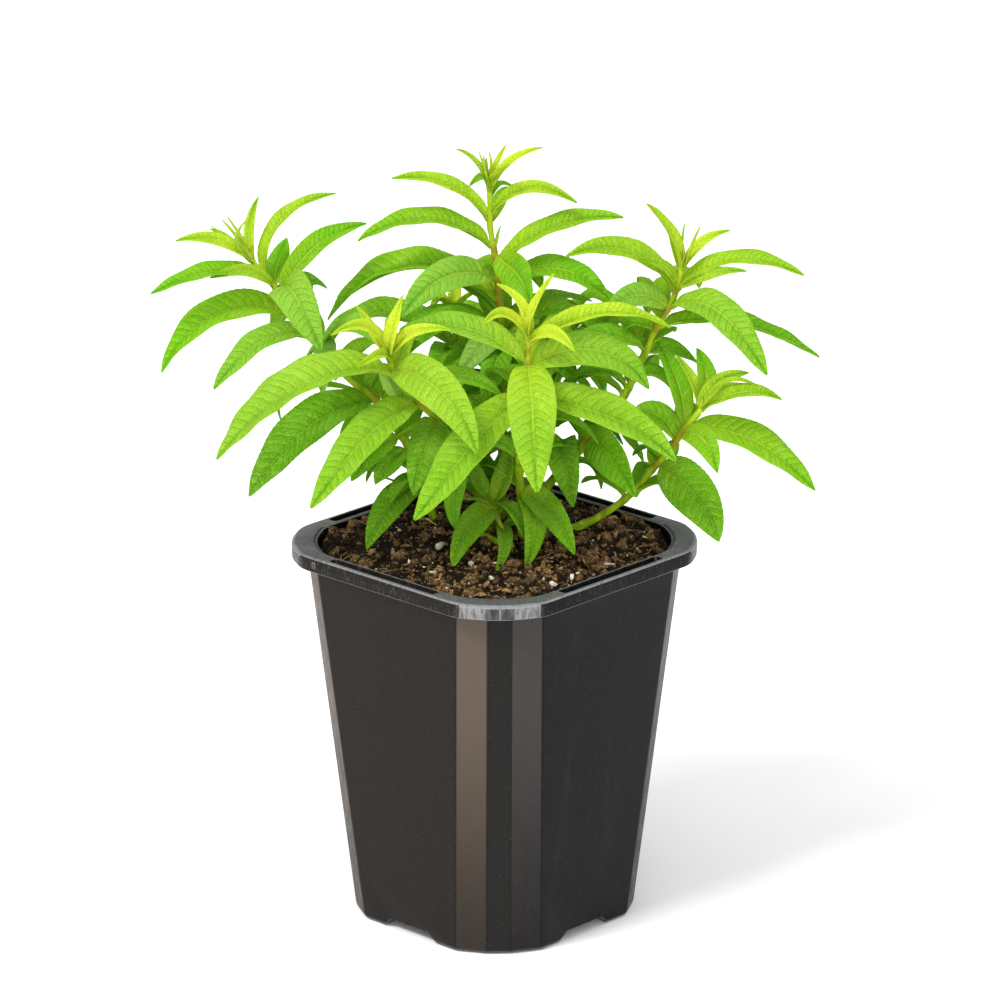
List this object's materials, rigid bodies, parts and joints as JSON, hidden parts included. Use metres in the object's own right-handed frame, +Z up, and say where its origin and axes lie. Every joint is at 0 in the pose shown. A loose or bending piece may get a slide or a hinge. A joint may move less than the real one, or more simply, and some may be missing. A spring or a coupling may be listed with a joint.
{
  "type": "lemon verbena plant in a square nursery pot",
  "caption": "Young lemon verbena with arching pointed leaves on thin leaning stems, growing in a dark square plastic nursery pot filled with barky potting mix.",
  "frame": {"origin": "middle of the pot's flat underside, on the surface that it stands on", "axes": "+Z up; the pot's four corners point along +X, -X, +Y and -Y, and the corner at -Y is the one that faces the viewer of the picture"},
  "size_m": [0.2182, 0.1546, 0.2582],
  "materials": {
    "pot": "dark grey-black moulded polypropylene, satin, with paler worn corner facets",
    "potting_mix": "damp dark brown composted bark and peat crumbs with bark chips and cream perlite grains",
    "stem": "green soft-wooded stem, reddish brown at the nodes",
    "leaf": "bright green quilted leaf with sunken side veins and a finely toothed pale edge"
  },
  "bodies": {
    "root": {"basal_leaf_1": "leaf", "basal_stem": "stem", "front_leaf_1": "leaf", "front_leaf_2": "leaf", "front_leaf_3": "leaf", "front_leaf_4": "leaf", "front_leaf_5": "leaf", "front_leaf_6": "leaf", "front_leaf_7": "leaf", "front_left_leaf_1": "leaf", "front_left_leaf_2": "leaf", "front_left_leaf_3": "leaf", "front_left_leaf_4": "leaf", "front_left_stem": "stem", "front_stem": "stem", "left_leaf_1": "leaf", "left_leaf_2": "leaf", "left_leaf_3": "leaf", "left_leaf_4": "leaf", "left_leaf_5": "leaf", "left_leaf_6": "leaf", "left_leaf_7": "leaf", "left_leaf_8": "leaf", "left_stem": "stem", "low_right_leaf_1": "leaf", "low_right_leaf_2": "leaf", "low_right_leaf_3": "leaf", "low_right_leaf_4": "leaf", "low_right_leaf_5": "leaf", "low_right_stem": "stem", "pot": "pot", "potting_mix": "potting_mix", "rear_left_leaf_1": "leaf", "rear_left_leaf_2": "leaf", "rear_left_leaf_3": "leaf", "rear_left_stem": "stem", "rear_right_leaf_1": "leaf", "rear_right_leaf_2": "leaf", "rear_right_leaf_3": "leaf", "rear_right_stem": "stem", "right_leaf_1": "leaf", "right_leaf_2": "leaf", "right_leaf_3": "leaf", "right_leaf_4": "leaf", "right_leaf_5": "leaf", "right_leaf_6": "leaf", "right_leaf_7": "leaf", "right_stem": "stem", "tall_leaf_1": "leaf", "tall_leaf_2": "leaf", "tall_leaf_3": "leaf", "tall_leaf_4": "leaf", "tall_leaf_5": "leaf", "tall_leaf_6": "leaf", "tall_leaf_7": "leaf", "tall_leaf_8": "leaf", "tall_leaf_9": "leaf", "tall_stem": "stem"}
  },
  "joints": []
}
